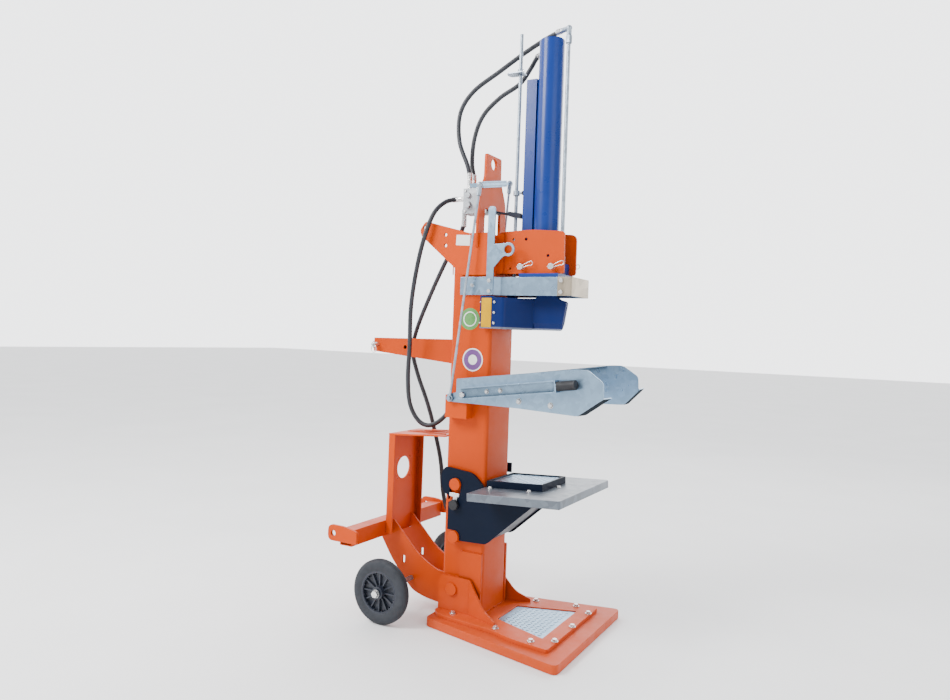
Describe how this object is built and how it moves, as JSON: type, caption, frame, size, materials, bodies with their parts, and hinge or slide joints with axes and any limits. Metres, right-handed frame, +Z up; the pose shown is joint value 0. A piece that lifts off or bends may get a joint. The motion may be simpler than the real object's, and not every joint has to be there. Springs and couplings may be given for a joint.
{
  "type": "hydraulic log splitter",
  "caption": "Vertical log splitter for a tractor's three-point hitch, with a hydraulic cylinder, a wedge blade, two control arms, a hook-on table and transport wheels.",
  "frame": {"origin": "centre of the column's footprint, on the floor under the base", "axes": "+X points to the table and blade side, +Y to the far control arm, +Z up"},
  "size_m": [1.1283, 0.69, 2.37],
  "materials": {
    "orange_paint": "semi-gloss powder coat",
    "blue_paint": "gloss enamel",
    "black_paint": "semi-gloss powder coat",
    "zinc": "galvanised, satin",
    "bright_steel": "hard chromed rod",
    "blade_steel": "dark blue-grey enamel",
    "machined": "machined",
    "yellow_plastic": "matte wear plastic",
    "rim_plastic": "moulded",
    "tyre_rubber": "matte",
    "grip_rubber": "matte",
    "hose_rubber": "matte"
  },
  "bodies": {
    "frame": {"base_tray": "orange_paint", "base_rim": "orange_paint", "base_tread": "zinc", "column": "orange_paint", "column_gussets": "orange_paint", "support_pins": "orange_paint", "rear_skirts": "orange_paint", "pump_plate": "orange_paint", "pump_shelf": "orange_paint", "lower_link_beam": "orange_paint", "lower_link_lugs": "orange_paint", "wheel_axle": "zinc", "frame_bolts": "zinc", "top_link_arm": "orange_paint", "top_link_pin": "zinc", "ear_plates": "orange_paint", "head_plates": "orange_paint", "lifting_mast": "orange_paint", "guard_straps": "zinc", "guard_cap": "zinc", "hanger_plate": "zinc", "valve_body": "machined", "hose_fittings": "zinc", "arm_brackets": "orange_paint", "cylinder_barrel": "blue_paint", "cylinder_saddle": "blue_paint", "cylinder_rail": "blue_paint", "oil_pipe": "zinc", "cylinder_gland": "machined", "cylinder_pins": "zinc", "table_top": "zinc", "table_tread": "zinc", "table_ring": "black_paint", "table_arms": "black_paint", "hose_outer_upper": "hose_rubber", "hose_inner_upper": "hose_rubber", "hose_outer_lower": "hose_rubber", "hose_inner_lower": "hose_rubber"},
    "wheel_near": {"wheel_near_tyre": "tyre_rubber", "wheel_near_rim": "rim_plastic"},
    "wheel_far": {"wheel_far_tyre": "tyre_rubber", "wheel_far_rim": "rim_plastic"},
    "blade": {"splitting_blade": "blade_steel", "blade_carriage": "blade_steel", "wear_pads": "yellow_plastic", "pad_bolts": "zinc", "piston": "machined", "piston_rod": "bright_steel", "stroke_rod": "zinc"},
    "arm_near": {"arm_near_plate": "zinc", "arm_near_handle": "zinc", "arm_near_grip": "grip_rubber"},
    "arm_far": {"arm_far_plate": "zinc", "arm_far_handle": "zinc", "arm_far_grip": "grip_rubber"},
    "linkage": {"rocker": "zinc", "control_rods": "zinc", "valve_spool": "machined"},
    "lever": {"stroke_lever": "blade_steel"},
    "latch": {"table_latch": "zinc"}
  },
  "joints": [
    {"name": "wheel_near_spin", "type": "hinge", "parent": "frame", "child": "wheel_near", "pos_m": [-0.255, -0.285, 0.125], "axis": [0, 1, 0], "continuous": true},
    {"name": "wheel_far_spin", "type": "hinge", "parent": "frame", "child": "wheel_far", "pos_m": [-0.255, 0.285, 0.125], "axis": [0, 1, 0], "continuous": true},
    {"name": "blade_slide", "type": "slide", "parent": "frame", "child": "blade", "axis": [0, 0, -1], "range_m": [0, 0.5]},
    {"name": "arm_near_press", "type": "hinge", "parent": "frame", "child": "arm_near", "pos_m": [0.01, -0.15, 0.905], "axis": [0, 1, 0], "range_deg": [0, 6], "stiffness_Nm_per_rad": 260, "springref_deg": -14.32},
    {"name": "arm_far_press", "type": "hinge", "parent": "frame", "child": "arm_far", "pos_m": [0.01, 0.15, 0.905], "axis": [0, 1, 0], "range_deg": [0, 6.2]},
    {"name": "linkage_slide", "type": "slide", "parent": "frame", "child": "linkage", "axis": [0, 0, 1], "range_m": [0, 0.0065]},
    {"name": "stroke_lever_tilt", "type": "hinge", "parent": "frame", "child": "lever", "pos_m": [0.038, 0, 1.646], "axis": [0, 1, 0], "range_deg": [0, 3.2]},
    {"name": "table_latch_turn", "type": "hinge", "parent": "frame", "child": "latch", "pos_m": [-0.031, -0.12, 0.466], "axis": [0, 1, 0], "range_deg": [0, 70]}
  ],
  "couplings": [
    {"joint": "arm_far_press", "follows": "arm_near_press", "ratio": 1},
    {"joint": "linkage_slide", "follows": "arm_near_press", "m_per_rad": 0.06},
    {"joint": "stroke_lever_tilt", "follows": "arm_near_press", "ratio": 0.5}
  ]
}
